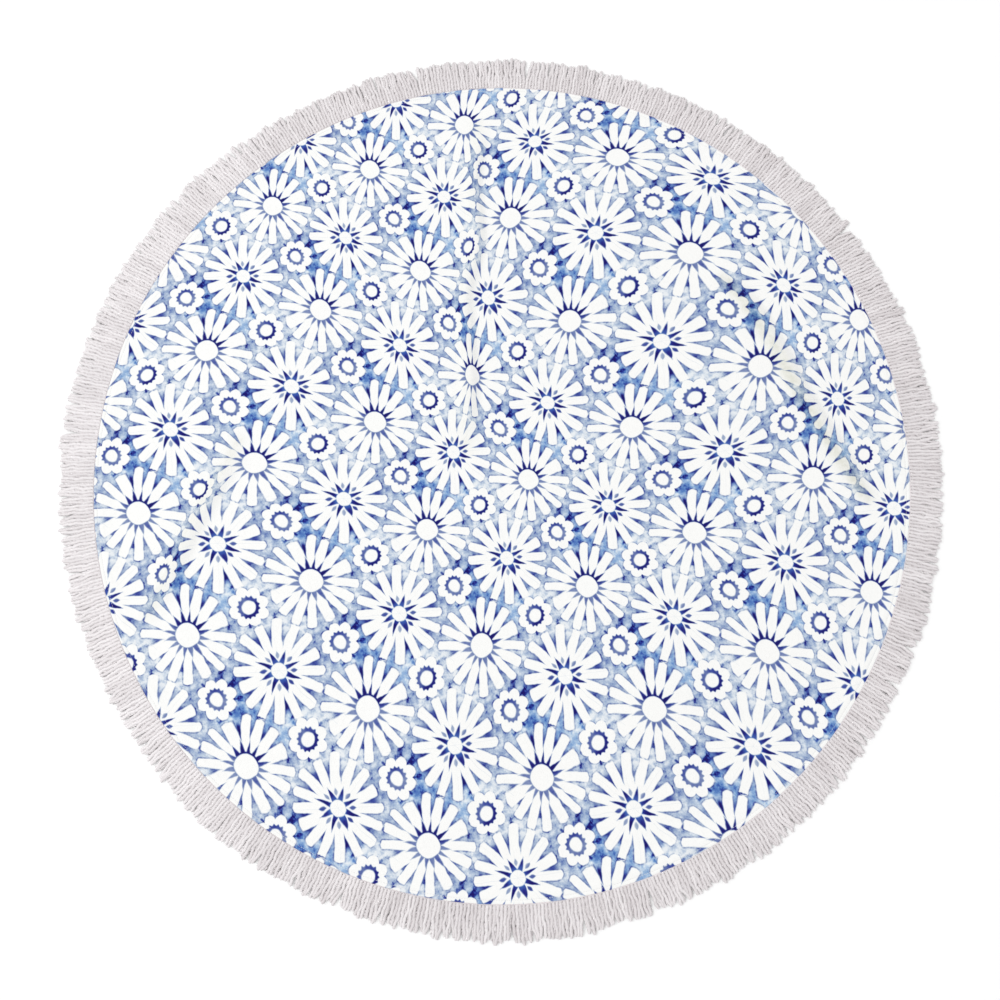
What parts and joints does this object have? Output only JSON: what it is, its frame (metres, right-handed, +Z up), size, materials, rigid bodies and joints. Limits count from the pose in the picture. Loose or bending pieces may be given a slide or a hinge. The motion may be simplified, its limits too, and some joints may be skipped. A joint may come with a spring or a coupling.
{
  "type": "round beach towel",
  "caption": "Round beach towel lying flat and face up: a hemmed terry disc with soft fold creases, edged all round by a cotton fringe trim.",
  "frame": {"origin": "middle of the towel's box in plan, on the surface that it lies on", "axes": "+Z up from the printed face, +Y towards the top of the print, +X to its right"},
  "size_m": [1.534, 1.5268, 0.011],
  "materials": {
    "printed_terry": "soft low pile, white with a blue print",
    "cotton_yarn": "matt cut yarn"
  },
  "bodies": {
    "root": {"towel_cloth": "printed_terry", "fringe_trim": "cotton_yarn"}
  },
  "joints": []
}
